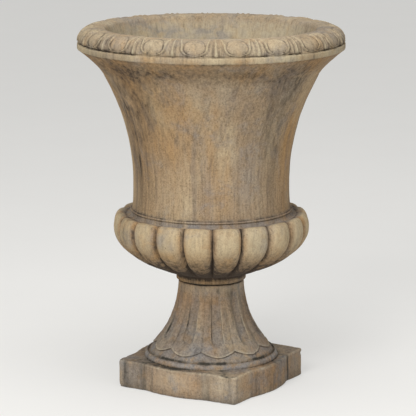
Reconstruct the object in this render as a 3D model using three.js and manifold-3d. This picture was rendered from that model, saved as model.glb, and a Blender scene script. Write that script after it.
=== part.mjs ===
import * as THREE from 'three';
import Module from 'manifold-3d';

// A two-piece cast-stone urn planter: a bell-shaped bowl with a gadrooned belly, bedded on a fluted pedestal.
// Millimetres, +Z up, origin at the centre of the plinth's underside, plinth sides square to X and Y.

const wasm = await Module();
wasm.setup();

const FULL_TURN = 2 * Math.PI;
const degrees = (angle) => THREE.MathUtils.degToRad(angle);

// Clearances
const SEAT_GAP = 0.3;
const HOLE_GAP = 0.3;

// Square plinth with a bowed projection in the middle of each side
const PLINTH_HALF_SIDE = 139;
const PLINTH_HEIGHT = 56;
const PLINTH_CORNER_R = 7;
const PLINTH_EDGE_ROUND = 4;
const BOW_HALF_WIDTH = 71;
const BOW_RISE = 12;
const BOW_SEGMENTS = 10;

// Ring between plinth and stem
const RING_FOOT_R = 137;
const RING_TOP_R = 133.5;
const RING_HEIGHT = 11.5;
const RING_GROOVE_DEPTH = 5;
const RING_GROOVE_HEIGHT = 2.5;

// Fluted stem
const STEM_TOP_Z = 214.5;
const STEM_NECK_R = 67;
const STEM_FOOT_R = 129;
const STEM_FOOT_RISE = 15;
const STEM_FLARE_POWER = 4;
const STEM_SPREAD_SHARE = 0.85;
const STEM_ROWS = 9;
const STEM_ROW_POWER = 1.25;
const LOBE_COUNT = 10;
const LOBE_TURN = 2.6;
const LOBE_VALLEY_SHARE = 0.035;
const LOBE_EDGE_STEP = 4;
const SCALLOP_RISE = 14;
const FLUTE_DEPTH_SHARE = 0.065;
const FLUTE_HALF_SHARE = 0.42;
const FLUTE_TOP_DROP = 5;
const FLUTE_FOOT_RISE = 24;
const FLUTE_FADE = 16;

// Core under the pedestal
const CORE_FOOT_R = 92;
const CORE_TOP_R = 31;
const CORE_TOP_Z = 172;
const CORE_SEGMENTS = 40;

// Joint between the two castings
const BEDDING_THICKNESS = 2.4;
const BEDDING_RECESS = 3.5;
const JOINT_SEGMENTS = 60;
const BOWL_FOOT_Z = STEM_TOP_Z + BEDDING_THICKNESS + 2 * SEAT_GAP;

// Dowels through the joint
const DOWEL_COUNT = 4;
const DOWEL_R = 5;
const DOWEL_LENGTH = 60;
const DOWEL_PITCH_R = 42;
const DOWEL_CHAMFER = 1;
const DOWEL_END_ROOM = 1.5;
const DOWEL_SEGMENTS = 20;

// Drain sleeve
const SLEEVE_R = 17;
const SLEEVE_WALL = 3;
const SLEEVE_FLANGE_R = 27;
const SLEEVE_FLANGE_THICKNESS = 3;
const SLEEVE_TAIL = 9;
const SLEEVE_SEGMENTS = 32;

// Foot collar and gadrooned belly of the bowl
const COLLAR_R = 71;
const COLLAR_EDGE = 1.5;
const COLLAR_HEIGHT = 15.5;
const GADROON_COUNT = 20;
const GADROON_TURN = -4.3;
const BELLY_R = 199.5;
const BELLY_Z = 328;
const BELLY_DROP_POWER = 2.1;
const BELLY_CURL_POWER = 0.8;
const BELLY_TOP_Z = 355.5;
const BELLY_SHOULDER_R = 187;
const BELLY_UNDER_ROWS = 8;
const BELLY_SHOULDER_ROWS = 3;
const GADROON_DEPTH_SHARE = 0.075;
const GADROON_END_DROP = 4.5;
const GADROON_END_R = 179;
const GADROON_ROUND_SHARE = 0.98;

// Recess, bead and bell
const RECESS_Z = 353;
const RECESS_R = 166;
const BEAD_R = 163;
const BEAD_HALF_HEIGHT = 2.2;
const BEAD_Z = 363;
const BEAD_NECK_R = 161;
const BELL_WAIST_R = 158;
const BELL_WAIST_Z = 412;
const BELL_TOP_R = 214.5;
const BELL_TOP_Z = 635;
const BELL_FLARE_POWER = 2.15;
const BELL_ROWS = 8;
const BELL_ROW_POWER = 0.9;
const COVE_POWER = 1.35;
const COVE_ROWS = 4;

// Rim
const FILLET_FOOT_Z = 690;
const FILLET_R = 269.5;
const FILLET_ROUND = 2;
const RIM_GROOVE_Z = 703.5;
const RIM_GROOVE_R = 265;
const RIM_GROOVE_HALF = 1.5;
const OVOLO_CENTRE_Z = 707;
const OVOLO_OUTER_R = 268;
const OVOLO_INNER_R = 216;
const OVOLO_RISE = 30;
const OVOLO_ROWS = 6;
const OVOLO_LEAN_SHARE = 0.78;
const OVOLO_FULLNESS = 0.85;
const LIP_R = 212;
const LIP_Z = 730;
const EGG_RELIEF = 4;
const EGG_WIDTH_SHARE = 0.46;
const SHELL_WIDTH_SHARE = 0.66;
const DART_WIDTH_SHARE = 0.84;
const EGG_TAPER_SHARE = 0.25;
const DART_RISE_SHARE = 0.6;

// Inside of the bowl
const MOUTH_R = 206;
const MOUTH_Z = 718;
const THROAT_R = 186;
const THROAT_Z = 640;
const WELL_R = 126;
const WELL_Z = 420;
const WELL_FOOT_R = 112;
const WELL_FOOT_Z = 296;
const WELL_FLARE_POWER = 1.9;
const WELL_ROWS = 5;
const FLOOR_R = 84;
const FLOOR_Z = 262;
const FLOOR_ROWS = 3;

// Divisions around the axis
const PLAIN_SEGMENTS = 60;
const RIM_SEGMENTS = 80;
const GADROON_STOPS = [-1, -0.84, -0.48, 0, 0.48, 0.84];
const LOBE_STOPS = [-1, -0.72, -0.42, -0.24, 0, 0.24, 0.42, 0.72];
const EGG_STOPS = [-1, -0.78, -0.56, -0.3, 0, 0.3, 0.56, 0.78];

// Evenly spaced angles around the axis
function evenAngles(count) {
  return Array.from({ length: count }, (_, i) => ({ angle: (i * FULL_TURN) / count, across: 0 }));
}

// Angles bunched where a repeated form turns sharply; `across` runs from -1 to 1 over one form
function formAngles(count, stops, turn) {
  const pitch = FULL_TURN / count;
  const angles = [];
  for (let form = 0; form < count; form += 1) {
    for (const across of stops) {
      const middle = degrees(turn) + (form + 0.5) * pitch;
      angles.push({ angle: middle + (across * pitch) / 2, across });
    }
  }
  return angles;
}

// One ring of points; the shape function gives radius and height at each stop
function ring(angles, shape) {
  const points = angles.map(({ angle, across }) => {
    const { r, z } = shape(across);
    const turned = (angle + 2 * FULL_TURN) % FULL_TURN;
    return { angle: turned, at: new THREE.Vector3(r * Math.cos(turned), r * Math.sin(turned), z) };
  });
  points.sort((a, b) => a.angle - b.angle);
  return points;
}

function plainRing(count, r, z) {
  return ring(evenAngles(count), () => ({ r, z }));
}

// Fills the band between two rings of any point counts
function stitch(lower, upper, startLower, startUpper, triangles) {
  let i = 0;
  let j = 0;
  while (i < lower.length || j < upper.length) {
    const nextLower = i < lower.length ? stopAngle(lower, i + 1) : Infinity;
    const nextUpper = j < upper.length ? stopAngle(upper, j + 1) : Infinity;
    const a = startLower + (i % lower.length);
    const b = startUpper + (j % upper.length);
    if (nextLower <= nextUpper) {
      triangles.push(a, startLower + ((i + 1) % lower.length), b);
      i += 1;
    } else {
      triangles.push(a, startUpper + ((j + 1) % upper.length), b);
      j += 1;
    }
  }
}

function stopAngle(points, index) {
  return index < points.length ? points[index].angle : points[0].angle + FULL_TURN;
}

// A closed body round the axis: each ring joins the next, and the last joins the first
function ringBody(rings) {
  const positions = [];
  const starts = [];
  for (const points of rings) {
    starts.push(positions.length / 3);
    for (const { at } of points) positions.push(at.x, at.y, at.z);
  }
  const triangles = [];
  rings.forEach((points, index) => {
    const next = (index + 1) % rings.length;
    stitch(points, rings[next], starts[index], starts[next], triangles);
  });
  const geometry = new THREE.BufferGeometry();
  geometry.setAttribute('position', new THREE.Float32BufferAttribute(positions, 3));
  geometry.setIndex(triangles);
  return geometry;
}

// Joins and cuts work on merged, position-only triangles
function toSolid(geometry) {
  const source = geometry.index ? geometry.toNonIndexed() : geometry;
  const place = source.getAttribute('position');
  const seen = new Map();
  const vertices = [];
  const triangles = [];
  for (let i = 0; i < place.count; i += 1) {
    const point = [place.getX(i), place.getY(i), place.getZ(i)].map((value) => Math.round(value * 1e5) / 1e5);
    const key = point.join();
    if (!seen.has(key)) {
      seen.set(key, vertices.length / 3);
      vertices.push(...point);
    }
    triangles.push(seen.get(key));
  }
  const kept = [];
  for (let i = 0; i < triangles.length; i += 3) {
    const [a, b, c] = triangles.slice(i, i + 3);
    if (a !== b && b !== c && c !== a) kept.push(a, b, c);
  }
  const mesh = new wasm.Mesh({
    numProp: 3,
    vertProperties: new Float32Array(vertices),
    triVerts: new Uint32Array(kept),
  });
  return new wasm.Manifold(mesh);
}

function toGeometry(solid) {
  const mesh = solid.getMesh();
  const geometry = new THREE.BufferGeometry();
  const positions = [];
  for (let i = 0; i < mesh.vertProperties.length; i += mesh.numProp) {
    positions.push(...mesh.vertProperties.subarray(i, i + 3));
  }
  geometry.setAttribute('position', new THREE.Float32BufferAttribute(positions, 3));
  geometry.setIndex(Array.from(mesh.triVerts));
  return geometry;
}

function upright(radius, bottom, top, segments) {
  const geometry = new THREE.CylinderGeometry(radius, radius, top - bottom, segments);
  geometry.rotateX(Math.PI / 2);
  geometry.translate(0, 0, (top + bottom) / 2);
  return geometry;
}

// Radius of the stem's smooth body at a height
function stemRadius(z) {
  const foot = PLINTH_HEIGHT + STEM_FOOT_RISE;
  const drop = THREE.MathUtils.clamp((STEM_TOP_Z - z) / (STEM_TOP_Z - foot), 0, 1);
  const spread = STEM_SPREAD_SHARE * drop * drop + (1 - STEM_SPREAD_SHARE) * drop ** STEM_FLARE_POWER;
  return STEM_NECK_R + (STEM_FOOT_R - STEM_NECK_R) * spread;
}

// How strongly the flutes are cut at a height: none at the neck and at the lobes' rounded feet
function fluteStrength(z) {
  const fromTop = (STEM_TOP_Z - FLUTE_TOP_DROP - z) / FLUTE_FADE;
  const fromFoot = (z - PLINTH_HEIGHT - FLUTE_FOOT_RISE) / FLUTE_FADE;
  return THREE.MathUtils.clamp(Math.min(fromTop, fromFoot), 0, 1);
}

// A stop on the lobed stem: swollen lobes, shallow valleys between them, a flute down the middle of each
function stemStop(across, z, lift) {
  const side = Math.abs(across);
  const height = z + lift * side * side;
  const r = stemRadius(height);
  const valley = LOBE_VALLEY_SHARE * side ** 4 * lobeStrength(height);
  const inFlute = 1 - Math.min(side / FLUTE_HALF_SHARE, 1) ** 2;
  const flute = FLUTE_DEPTH_SHARE * inFlute * fluteStrength(height);
  return { r: r * (1 - valley - flute), z: height };
}

function lobeStrength(z) {
  return THREE.MathUtils.clamp((STEM_TOP_Z - z) / FLUTE_FADE, 0, 1);
}

function stemRings() {
  const angles = formAngles(LOBE_COUNT, LOBE_STOPS, LOBE_TURN);
  const foot = PLINTH_HEIGHT + STEM_FOOT_RISE;
  const scalloped = foot + LOBE_EDGE_STEP;
  const rings = [plainRing(JOINT_SEGMENTS, stemRadius(foot) - LOBE_EDGE_STEP, foot)];
  rings.push(ring(angles, (across) => {
    const { r, z } = stemStop(across, scalloped, SCALLOP_RISE);
    return { r: r - LOBE_EDGE_STEP, z: z - LOBE_EDGE_STEP / 2 };
  }));
  for (let row = 0; row <= STEM_ROWS; row += 1) {
    const up = (row / STEM_ROWS) ** STEM_ROW_POWER;
    const z = scalloped + (STEM_TOP_Z - scalloped) * up;
    rings.push(ring(angles, (across) => stemStop(across, z, SCALLOP_RISE * (1 - up))));
  }
  return rings;
}

// Ring, groove and stem above the plinth, with the tapered core and the drain passage inside
function pedestalShaft() {
  const ringTop = PLINTH_HEIGHT + RING_HEIGHT;
  const seat = PLINTH_HEIGHT - PLINTH_EDGE_ROUND;
  const rings = [
    plainRing(JOINT_SEGMENTS, RING_FOOT_R, seat),
    plainRing(JOINT_SEGMENTS, RING_FOOT_R, PLINTH_HEIGHT),
    plainRing(JOINT_SEGMENTS, RING_TOP_R, ringTop),
    plainRing(JOINT_SEGMENTS, RING_TOP_R - RING_GROOVE_DEPTH, ringTop + RING_GROOVE_HEIGHT / 2),
    ...stemRings(),
    plainRing(CORE_SEGMENTS, SLEEVE_R + HOLE_GAP, STEM_TOP_Z),
    plainRing(CORE_SEGMENTS, SLEEVE_R + HOLE_GAP, seat),
  ];
  return toSolid(ringBody(rings));
}

// Plan of the plinth: rounded corners and a bow on each side
function plinthOutline() {
  const shape = new THREE.Shape();
  const bowRadius = (BOW_HALF_WIDTH ** 2 + BOW_RISE ** 2) / (2 * BOW_RISE);
  const setBack = PLINTH_HALF_SIDE + BOW_RISE - bowRadius;
  const halfAngle = Math.asin(BOW_HALF_WIDTH / bowRadius);
  const straight = PLINTH_HALF_SIDE - PLINTH_CORNER_R;
  for (let side = 0; side < 4; side += 1) {
    const facing = (side * Math.PI) / 2;
    const middle = new THREE.Vector2(setBack, 0).rotateAround(new THREE.Vector2(), facing);
    shape.absarc(middle.x, middle.y, bowRadius, facing - halfAngle, facing + halfAngle, false);
    const corner = new THREE.Vector2(straight, straight).rotateAround(new THREE.Vector2(), facing);
    shape.absarc(corner.x, corner.y, PLINTH_CORNER_R, facing, facing + Math.PI / 2, false);
  }
  return shape;
}

function plinthSolid() {
  const geometry = new THREE.ExtrudeGeometry(plinthOutline(), {
    depth: PLINTH_HEIGHT - PLINTH_EDGE_ROUND,
    bevelEnabled: true,
    bevelThickness: PLINTH_EDGE_ROUND,
    bevelSize: PLINTH_EDGE_ROUND / 2,
    bevelOffset: -PLINTH_EDGE_ROUND / 2,
    bevelSegments: 2,
    curveSegments: BOW_SEGMENTS,
  });
  const solid = toSolid(geometry);
  const below = upright(2 * PLINTH_HALF_SIDE, -2 * PLINTH_EDGE_ROUND, 0, 4);
  return solid.subtract(toSolid(below));
}

// The tapered core and the drain passage that meets it
function pedestalCore() {
  const profile = [
    new THREE.Vector2(0, -PLINTH_EDGE_ROUND),
    new THREE.Vector2(CORE_FOOT_R, -PLINTH_EDGE_ROUND),
    new THREE.Vector2(CORE_FOOT_R, 0),
    new THREE.Vector2(CORE_TOP_R, CORE_TOP_Z - CORE_TOP_R / 2),
    new THREE.Vector2(CORE_TOP_R - CORE_TOP_R / 4, CORE_TOP_Z),
    new THREE.Vector2(0, CORE_TOP_Z),
  ];
  const geometry = new THREE.LatheGeometry(profile, CORE_SEGMENTS);
  geometry.rotateX(Math.PI / 2);
  return toSolid(geometry);
}

function dowelSpots() {
  return Array.from({ length: DOWEL_COUNT }, (_, i) => {
    const angle = (i * FULL_TURN) / DOWEL_COUNT;
    return new THREE.Vector2(DOWEL_PITCH_R, 0).rotateAround(new THREE.Vector2(), angle);
  });
}

function cutDowelHoles(solid, bottom, top) {
  let cut = solid;
  for (const spot of dowelSpots()) {
    const hole = upright(DOWEL_R + HOLE_GAP, bottom, top, DOWEL_SEGMENTS);
    hole.translate(spot.x, spot.y, 0);
    cut = cut.subtract(toSolid(hole));
  }
  return cut;
}

// The dowels reach equally far into both castings, with a little room at each end
const DOWEL_MIDDLE_Z = (STEM_TOP_Z + BOWL_FOOT_Z) / 2;
const DOWEL_FOOT_Z = DOWEL_MIDDLE_Z - DOWEL_LENGTH / 2;
const DOWEL_TOP_Z = DOWEL_MIDDLE_Z + DOWEL_LENGTH / 2;

function pedestalGeometry() {
  const whole = plinthSolid().add(pedestalShaft()).subtract(pedestalCore());
  return toGeometry(cutDowelHoles(whole, DOWEL_FOOT_Z - DOWEL_END_ROOM, STEM_TOP_Z + DOWEL_END_ROOM));
}

// Radius of the belly's crest line below its widest height
function bellyRadius(z) {
  const foot = BOWL_FOOT_Z + COLLAR_HEIGHT;
  const drop = THREE.MathUtils.clamp((BELLY_Z - z) / (BELLY_Z - foot), 0, 1);
  const curl = (1 - drop ** BELLY_DROP_POWER) ** BELLY_CURL_POWER;
  return COLLAR_R + (BELLY_R - COLLAR_R) * curl;
}

// A stop on the gadrooned belly: plump lobes parted by narrow grooves
function gadroonStop(across, r, z, drop) {
  const hollow = 1 - Math.sqrt(1 - (across * GADROON_ROUND_SHARE) ** 2);
  const fade = THREE.MathUtils.smoothstep(r, COLLAR_R, (COLLAR_R + BELLY_R) / 2);
  return { r: r - r * GADROON_DEPTH_SHARE * hollow * fade, z: z - drop * hollow };
}

function bellyRings() {
  const angles = formAngles(GADROON_COUNT, GADROON_STOPS, GADROON_TURN);
  const foot = BOWL_FOOT_Z + COLLAR_HEIGHT;
  const rings = [];
  for (let row = 1; row <= BELLY_UNDER_ROWS; row += 1) {
    const sweep = (row / BELLY_UNDER_ROWS) * (Math.PI / 2);
    const z = BELLY_Z - (BELLY_Z - foot) * Math.cos(sweep);
    rings.push(ring(angles, (across) => gadroonStop(across, bellyRadius(z), z, 0)));
  }
  for (let row = 1; row <= BELLY_SHOULDER_ROWS; row += 1) {
    const sweep = (row / BELLY_SHOULDER_ROWS) * (Math.PI / 2);
    const z = BELLY_Z + (BELLY_TOP_Z - BELLY_Z) * Math.sin(sweep);
    const r = BELLY_SHOULDER_R + (BELLY_R - BELLY_SHOULDER_R) * Math.cos(sweep);
    const drop = GADROON_END_DROP * Math.sin(sweep);
    rings.push(ring(angles, (across) => gadroonStop(across, r, z, drop)));
  }
  rings.push(ring(angles, () => ({ r: GADROON_END_R, z: RECESS_Z })));
  return rings;
}

function bellRadius(z) {
  const span = z > BELL_WAIST_Z ? BELL_TOP_Z - BELL_WAIST_Z : BELL_WAIST_Z - BEAD_Z;
  const swell = z > BELL_WAIST_Z ? BELL_TOP_R - BELL_WAIST_R : BEAD_NECK_R - BELL_WAIST_R;
  return BELL_WAIST_R + swell * (Math.abs(z - BELL_WAIST_Z) / span) ** BELL_FLARE_POWER;
}

// Recess above the belly, bead, bell and the cove that flares out under the rim
function bellRings() {
  const rings = [
    plainRing(PLAIN_SEGMENTS, RECESS_R, RECESS_Z),
    plainRing(PLAIN_SEGMENTS, BEAD_R, BEAD_Z - BEAD_HALF_HEIGHT),
    plainRing(PLAIN_SEGMENTS, BEAD_R, BEAD_Z + BEAD_HALF_HEIGHT / 2),
    plainRing(PLAIN_SEGMENTS, BEAD_NECK_R, BEAD_Z + BEAD_HALF_HEIGHT),
  ];
  for (let row = 1; row <= BELL_ROWS; row += 1) {
    const z = BEAD_Z + (BELL_TOP_Z - BEAD_Z) * (row / BELL_ROWS) ** BELL_ROW_POWER;
    rings.push(plainRing(PLAIN_SEGMENTS, bellRadius(z), z));
  }
  const coveTop = FILLET_R - FILLET_ROUND;
  for (let row = 1; row <= COVE_ROWS; row += 1) {
    const up = row / COVE_ROWS;
    const r = BELL_TOP_R + (coveTop - BELL_TOP_R) * up ** COVE_POWER;
    rings.push(plainRing(RIM_SEGMENTS, r, BELL_TOP_Z + (FILLET_FOOT_Z - BELL_TOP_Z) * up));
  }
  return rings;
}

// Relief of the egg-and-dart: raised egg, sunk border, raised shell edge and a dart at each end
function eggRelief(across, along) {
  const side = Math.abs(across);
  const taper = 1 - EGG_TAPER_SHARE * along;
  const eggEdge = EGG_WIDTH_SHARE * taper;
  if (side < eggEdge) return EGG_RELIEF * Math.sqrt(1 - (side / eggEdge) ** 2);
  if (side < SHELL_WIDTH_SHARE * taper) return 0;
  return side < DART_WIDTH_SHARE ? EGG_RELIEF / 2 : EGG_RELIEF * side * DART_RISE_SHARE;
}

// The rounded top of the rim, from the groove over to the lip
function ovoloRings() {
  const angles = formAngles(GADROON_COUNT, EGG_STOPS, GADROON_TURN);
  const rings = [];
  const width = OVOLO_OUTER_R - OVOLO_INNER_R;
  for (let row = 0; row <= OVOLO_ROWS; row += 1) {
    const along = row / OVOLO_ROWS;
    const sweep = along * Math.PI * OVOLO_LEAN_SHARE;
    const fade = Math.sin(Math.PI * along);
    const outward = Math.cos(sweep);
    const upward = Math.sin(sweep) ** OVOLO_FULLNESS;
    const inset = (1 - outward) / (1 - Math.cos(Math.PI * OVOLO_LEAN_SHARE));
    rings.push(ring(angles, (across) => {
      const relief = (eggRelief(across, along) - EGG_RELIEF) * fade;
      const r = OVOLO_OUTER_R - width * inset + relief * outward;
      return { r, z: OVOLO_CENTRE_Z + (OVOLO_RISE + relief) * upward };
    }));
  }
  return rings;
}

function rimRings() {
  return [
    plainRing(RIM_SEGMENTS, FILLET_R, FILLET_FOOT_Z + FILLET_ROUND),
    plainRing(RIM_SEGMENTS, FILLET_R, RIM_GROOVE_Z - RIM_GROOVE_HALF),
    plainRing(RIM_SEGMENTS, RIM_GROOVE_R, RIM_GROOVE_Z),
    ...ovoloRings(),
    plainRing(RIM_SEGMENTS, LIP_R, LIP_Z),
  ];
}

// Inside wall from the mouth down to the floor and the seat for the sleeve's flange
function insideRings() {
  const rings = [plainRing(PLAIN_SEGMENTS, MOUTH_R, MOUTH_Z)];
  for (let row = 0; row <= WELL_ROWS; row += 1) {
    const down = row / WELL_ROWS;
    const r = WELL_R + (THROAT_R - WELL_R) * (1 - down) ** WELL_FLARE_POWER;
    rings.push(plainRing(PLAIN_SEGMENTS, r, THROAT_Z + (WELL_Z - THROAT_Z) * down));
  }
  for (let row = 0; row <= FLOOR_ROWS; row += 1) {
    const sweep = (row / FLOOR_ROWS) * (Math.PI / 2);
    const r = FLOOR_R + (WELL_FOOT_R - FLOOR_R) * Math.cos(sweep);
    rings.push(plainRing(PLAIN_SEGMENTS, r, WELL_FOOT_Z + (FLOOR_Z - WELL_FOOT_Z) * Math.sin(sweep)));
  }
  const seat = FLOOR_Z - SLEEVE_FLANGE_THICKNESS - SEAT_GAP;
  rings.push(plainRing(SLEEVE_SEGMENTS, SLEEVE_FLANGE_R + HOLE_GAP, FLOOR_Z));
  rings.push(plainRing(SLEEVE_SEGMENTS, SLEEVE_FLANGE_R + HOLE_GAP, seat));
  rings.push(plainRing(SLEEVE_SEGMENTS, SLEEVE_R + HOLE_GAP, seat));
  return rings;
}

function bowlGeometry() {
  const collarTop = BOWL_FOOT_Z + COLLAR_HEIGHT;
  const rings = [
    plainRing(SLEEVE_SEGMENTS, SLEEVE_R + HOLE_GAP, BOWL_FOOT_Z),
    plainRing(JOINT_SEGMENTS, COLLAR_R - COLLAR_EDGE, BOWL_FOOT_Z),
    plainRing(JOINT_SEGMENTS, COLLAR_R, BOWL_FOOT_Z + COLLAR_EDGE),
    plainRing(JOINT_SEGMENTS, COLLAR_R, collarTop),
    ...bellyRings(),
    ...bellRings(),
    ...rimRings(),
    ...insideRings(),
  ];
  const whole = toSolid(ringBody(rings));
  return toGeometry(cutDowelHoles(whole, BOWL_FOOT_Z - DOWEL_END_ROOM, DOWEL_TOP_Z + DOWEL_END_ROOM));
}

// Bedding mortar squeezed between the castings, raked back from the outside
function beddingGeometry() {
  const bottom = STEM_TOP_Z + SEAT_GAP;
  const inner = SLEEVE_R + HOLE_GAP;
  const outer = STEM_NECK_R - BEDDING_RECESS;
  const profile = [
    new THREE.Vector2(inner, bottom),
    new THREE.Vector2(outer, bottom),
    new THREE.Vector2(outer, bottom + BEDDING_THICKNESS),
    new THREE.Vector2(inner, bottom + BEDDING_THICKNESS),
    new THREE.Vector2(inner, bottom),
  ];
  const geometry = new THREE.LatheGeometry(profile, JOINT_SEGMENTS);
  geometry.rotateX(Math.PI / 2);
  return toGeometry(cutDowelHoles(toSolid(geometry), STEM_TOP_Z, BOWL_FOOT_Z));
}

// Drain sleeve: a tube with a flange that rests in the bowl's floor and a tail that drips into the core
function sleeveGeometry() {
  const top = FLOOR_Z;
  const under = top - SLEEVE_FLANGE_THICKNESS;
  const bore = SLEEVE_R - SLEEVE_WALL;
  const tail = CORE_TOP_Z - SLEEVE_TAIL;
  const profile = [
    new THREE.Vector2(bore, tail),
    new THREE.Vector2(SLEEVE_R, tail),
    new THREE.Vector2(SLEEVE_R, under),
    new THREE.Vector2(SLEEVE_FLANGE_R, under),
    new THREE.Vector2(SLEEVE_FLANGE_R, top),
    new THREE.Vector2(bore, top),
    new THREE.Vector2(bore, tail),
  ];
  const geometry = new THREE.LatheGeometry(profile, SLEEVE_SEGMENTS);
  geometry.rotateX(Math.PI / 2);
  return geometry;
}

function dowelGeometry(spot) {
  const profile = [
    new THREE.Vector2(0, DOWEL_FOOT_Z),
    new THREE.Vector2(DOWEL_R - DOWEL_CHAMFER, DOWEL_FOOT_Z),
    new THREE.Vector2(DOWEL_R, DOWEL_FOOT_Z + DOWEL_CHAMFER),
    new THREE.Vector2(DOWEL_R, DOWEL_TOP_Z - DOWEL_CHAMFER),
    new THREE.Vector2(DOWEL_R - DOWEL_CHAMFER, DOWEL_TOP_Z),
    new THREE.Vector2(0, DOWEL_TOP_Z),
  ];
  const geometry = new THREE.LatheGeometry(profile, DOWEL_SEGMENTS);
  geometry.rotateX(Math.PI / 2);
  geometry.translate(spot.x, spot.y, 0);
  return geometry;
}

function castStone(colour) {
  return new THREE.MeshStandardMaterial({ color: colour, roughness: 0.92, metalness: 0 });
}

function mortar() {
  return new THREE.MeshStandardMaterial({ color: 0x4a4238, roughness: 0.95, metalness: 0 });
}

function plastic() {
  return new THREE.MeshStandardMaterial({ color: 0x3b3d3e, roughness: 0.5, metalness: 0 });
}

function stainless() {
  return new THREE.MeshStandardMaterial({ color: 0xb4b6b8, roughness: 0.35, metalness: 1 });
}

function addPiece(group, name, geometry, material) {
  const mesh = new THREE.Mesh(geometry, material);
  mesh.name = name;
  group.add(mesh);
}

function buildUrn() {
  const urn = new THREE.Group();
  urn.name = 'urn_planter';
  addPiece(urn, 'pedestal', pedestalGeometry(), castStone(0x8f8163));
  addPiece(urn, 'bedding_ring', beddingGeometry(), mortar());
  addPiece(urn, 'bowl', bowlGeometry(), castStone(0xa98c63));
  addPiece(urn, 'drain_sleeve', sleeveGeometry(), plastic());
  dowelSpots().forEach((spot, index) => {
    addPiece(urn, `dowel_${index + 1}`, dowelGeometry(spot), stainless());
  });
  return urn;
}

export default buildUrn();
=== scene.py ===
import math

import bpy
import numpy as np
from mathutils import Matrix, Vector


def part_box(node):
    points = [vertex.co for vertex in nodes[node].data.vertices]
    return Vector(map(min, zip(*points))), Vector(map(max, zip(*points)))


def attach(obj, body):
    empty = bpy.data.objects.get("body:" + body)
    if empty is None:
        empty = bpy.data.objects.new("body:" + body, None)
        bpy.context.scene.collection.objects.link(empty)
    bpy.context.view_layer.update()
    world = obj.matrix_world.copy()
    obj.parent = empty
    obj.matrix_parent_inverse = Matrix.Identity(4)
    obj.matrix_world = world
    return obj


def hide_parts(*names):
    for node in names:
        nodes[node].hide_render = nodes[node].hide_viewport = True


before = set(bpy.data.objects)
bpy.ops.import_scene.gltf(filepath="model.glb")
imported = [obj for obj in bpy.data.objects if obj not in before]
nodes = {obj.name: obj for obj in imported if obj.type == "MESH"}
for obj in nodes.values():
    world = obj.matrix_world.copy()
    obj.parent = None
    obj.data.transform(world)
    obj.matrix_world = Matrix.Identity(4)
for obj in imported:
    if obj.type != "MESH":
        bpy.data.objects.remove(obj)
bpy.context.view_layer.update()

MM = 0.001
FULL_TURN = 2 * math.pi
QUARTER_TURN = math.pi / 2
EIGHTH_TURN = math.pi / 4

# Camera: where the photograph was taken from, in the urn's own frame
CAMERA_AROUND = math.radians(-58.83)
CAMERA_AWAY = 4.503
CAMERA_UP = 1.2524
CAMERA_PITCH = math.radians(11.188)
CAMERA_YAW = math.radians(0.085)
CAMERA_FOCAL_SHARE = 2256.5 / 416
CAMERA_CLIP_END = 100
SENSOR = 36.0

# Set, in metres
FLOOR_SIZE = 40
FLOOR_DROP = 0.0005
FLOOR_GLOW_SHARE = 0.5
FLOOR_GLOW = (0.86, 0.86, 0.85, 1)
SKY_LIT = {"Color": (1.0, 0.97, 0.91, 1), "Strength": 0.415}
SKY_SHOWN = {"Color": (0.98, 0.978, 0.95, 1), "Strength": 0.62}
LAMP_AIM = Vector((0, 0, 0.4))
# Lamps: name, turn from the camera in degrees, distance, height, size, watts, colour
LAMPS = (
    ("key_lamp", -24, 3.6, 2.7, 1.6, 98, (1.0, 0.98, 0.95)),
    ("fill_lamp", 48, 3.6, 1.4, 2.6, 11, (0.95, 0.97, 1.0)),
    ("top_lamp", 6, 0.9, 3.3, 2.2, 60, (1.0, 0.99, 0.97)),
)

# How finely the forms are turned
SLICES = 20
BODY_COLUMNS = 400
RIM_COLUMNS = 1200
PEDESTAL_COLUMNS = 800
SEAM_GAP = 0.05 * MM

# Bowl, in millimetres, the same as the casting's: collar and belly
BOWL_FOOT_Z = 217.5
COLLAR_R = 71
COLLAR_STEP = 1
COLLAR_TOP_Z = 233
BELLY_R = 199.3
BELLY_Z = 328
BELLY_TOP_Z = 355.5
BELLY_SHOULDER_R = 187
BELLY_DROP_POWER = 2.1
BELLY_SWELL_POWER = 0.8
BELLY_UNDER_ROWS = 24
BELLY_UNDER_START = 0.12
BELLY_SHOULDER_ROWS = 9
BELLY_SHOULDER_START = 0.14
GADROON_COUNT = 20
GADROON_TURN = math.radians(-4.1)
GADROON_END = 15
GADROON_SIDE_POWER = 3.1
GADROON_END_POWER = 2.5
GROOVE_SHARE = 0.078
GROOVE_FULL_R = 130
GROOVE_IN_POWER = 2.2
GROOVE_RISE_RATE = 1.25
GROOVE_RISE_POWER = 0.8
RECESS_Z = 352.6

# Bowl: bell, cove and fillet
BEAD_Z = 363
BEAD_NECK_R = 161
BELL_FOOT_Z = 370
BELL_WAIST_R = 158
BELL_WAIST_Z = 412
BELL_TOP_R = 214.5
BELL_TOP_Z = 635
BELL_POWER = 2.15
BELL_ROWS = 24
COVE_TOP_R = 266.5
COVE_TOP_Z = 689.5
COVE_POWER = 1.35
COVE_START = 0.12
COVE_ROWS = 10
FILLET_R = 268.9
RIM_GROOVE_Z = 703.6
RIM_GROOVE_R = 263.5
RIM_GROOVE_FILL = 3.6

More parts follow.
